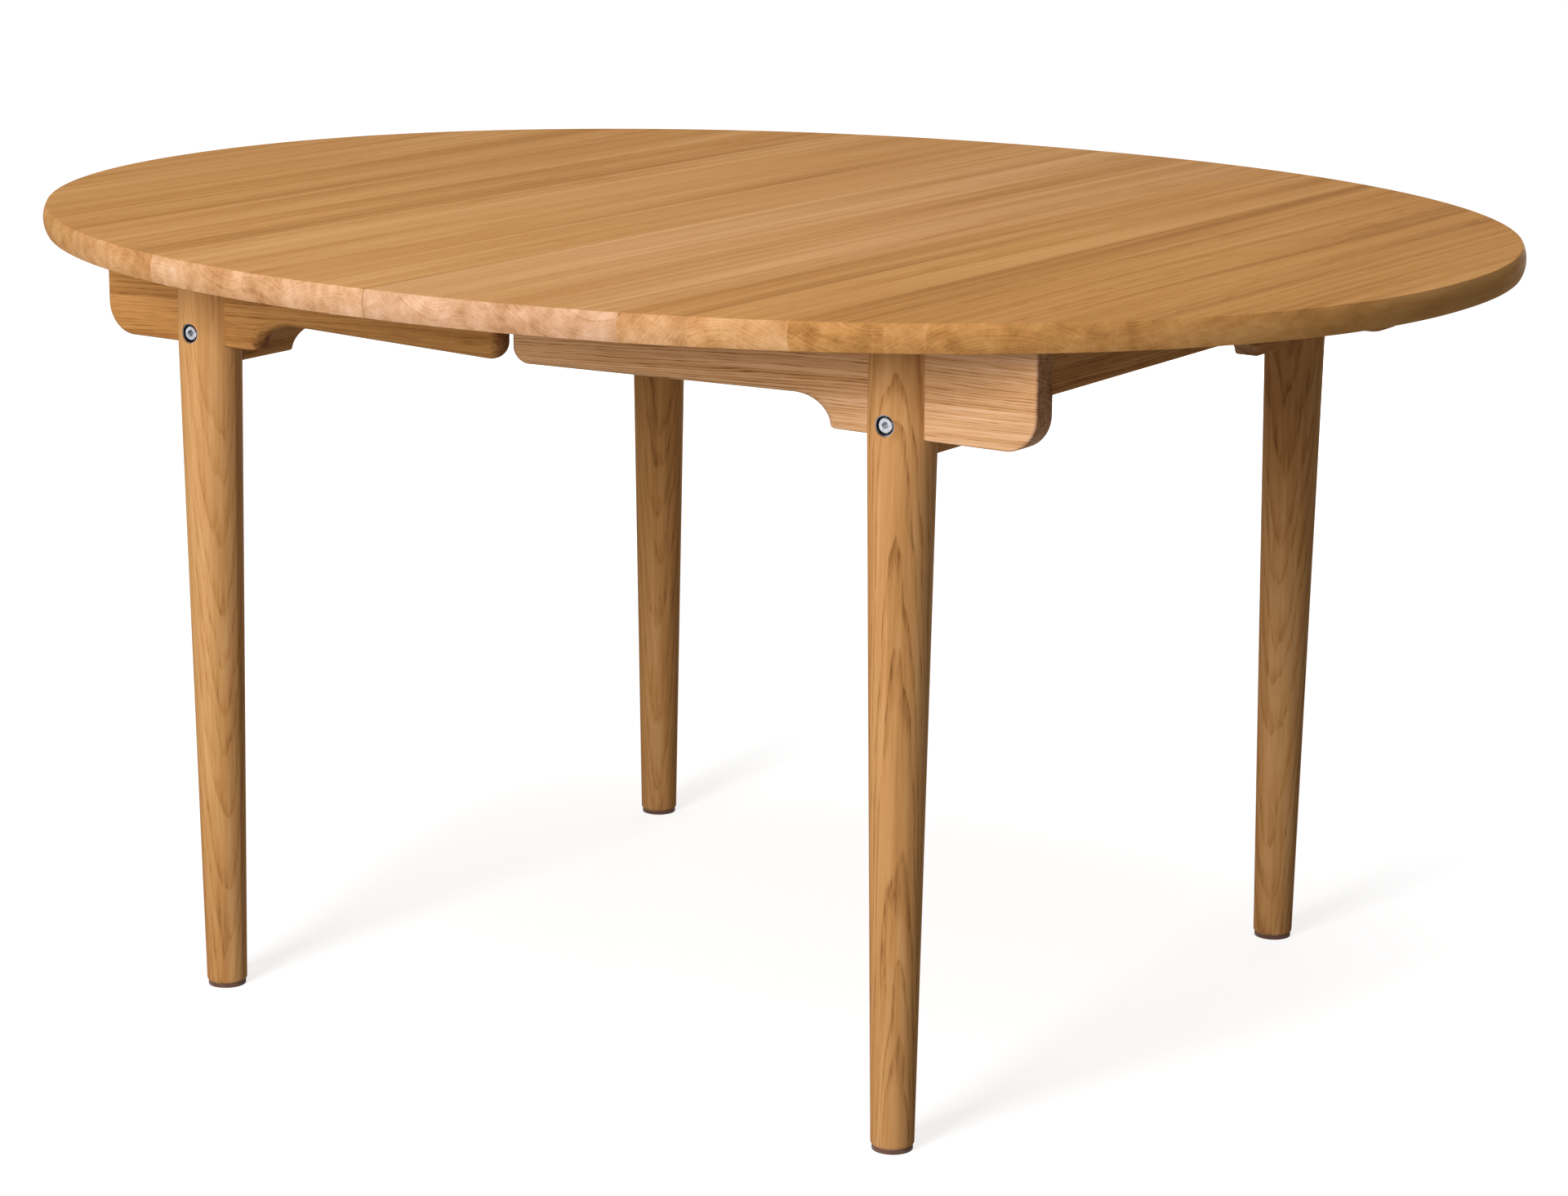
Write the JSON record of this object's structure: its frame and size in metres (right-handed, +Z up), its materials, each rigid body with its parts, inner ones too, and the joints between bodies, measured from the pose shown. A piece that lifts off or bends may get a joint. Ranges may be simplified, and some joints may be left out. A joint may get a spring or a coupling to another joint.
{
  "type": "extension dining table",
  "caption": "Oval draw-apart dining table: split top on round tapered legs bolted over side aprons, with sliding wooden runners beneath.",
  "frame": {"origin": "on the floor under the middle of the closed table", "axes": "+Z up, +X along the table's length towards the half that draws out, +Y across it away from the front"},
  "size_m": [1.4, 1.15, 0.72],
  "materials": {
    "top_oak": "oiled oak staves, satin",
    "apron_oak": "oiled oak, satin",
    "rail_oak": "oiled oak, satin",
    "leg_oak": "oiled oak, satin",
    "runner_beech": "waxed beech",
    "cleat_beech": "bare beech",
    "dowel_beech": "bare beech",
    "foot_felt": "dense dark brown felt",
    "bolt_steel": "polished",
    "cup_steel": "polished, dark",
    "nut_steel": "zinc plated",
    "screw_steel": "zinc plated"
  },
  "bodies": {
    "left_half": {"alignment_pins": "dowel_beech", "apron_cleat_left_back": "cleat_beech", "apron_cleat_left_front": "cleat_beech", "apron_left_back": "apron_oak", "apron_left_front": "apron_oak", "barrel_nuts_left": "nut_steel", "bolt_cups_left": "cup_steel", "cleat_screws_left": "screw_steel", "corner_dowels_left": "dowel_beech", "end_rail_left": "rail_oak", "foot_pad_left_back": "foot_felt", "foot_pad_left_front": "foot_felt", "leg_bolts_left": "bolt_steel", "leg_left_back": "leg_oak", "leg_left_front": "leg_oak", "rail_cleat_left": "cleat_beech", "runner_left_back": "runner_beech", "runner_left_front": "runner_beech", "runner_screws_left": "screw_steel", "stop_pins_left": "screw_steel", "top_left": "top_oak"},
    "middle_carriage": {"carriage_tie": "runner_beech", "middle_runner_back": "runner_beech", "middle_runner_front": "runner_beech", "tie_screws": "screw_steel"},
    "right_half": {"apron_cleat_right_back": "cleat_beech", "apron_cleat_right_front": "cleat_beech", "apron_right_back": "apron_oak", "apron_right_front": "apron_oak", "barrel_nuts_right": "nut_steel", "bolt_cups_right": "cup_steel", "cleat_screws_right": "screw_steel", "corner_dowels_right": "dowel_beech", "end_rail_right": "rail_oak", "foot_pad_right_back": "foot_felt", "foot_pad_right_front": "foot_felt", "leg_bolts_right": "bolt_steel", "leg_right_back": "leg_oak", "leg_right_front": "leg_oak", "rail_cleat_right": "cleat_beech", "runner_right_back": "runner_beech", "runner_right_front": "runner_beech", "runner_screws_right": "screw_steel", "stop_pins_right": "screw_steel", "top_right": "top_oak"}
  },
  "joints": [
    {"name": "left_half_to_carriage", "type": "slide", "parent": "left_half", "child": "middle_carriage", "axis": [1, 0, 0], "range_m": [0, 0.601]},
    {"name": "carriage_to_right_half", "type": "slide", "parent": "middle_carriage", "child": "right_half", "axis": [1, 0, 0], "range_m": [0, 0.601]}
  ]
}
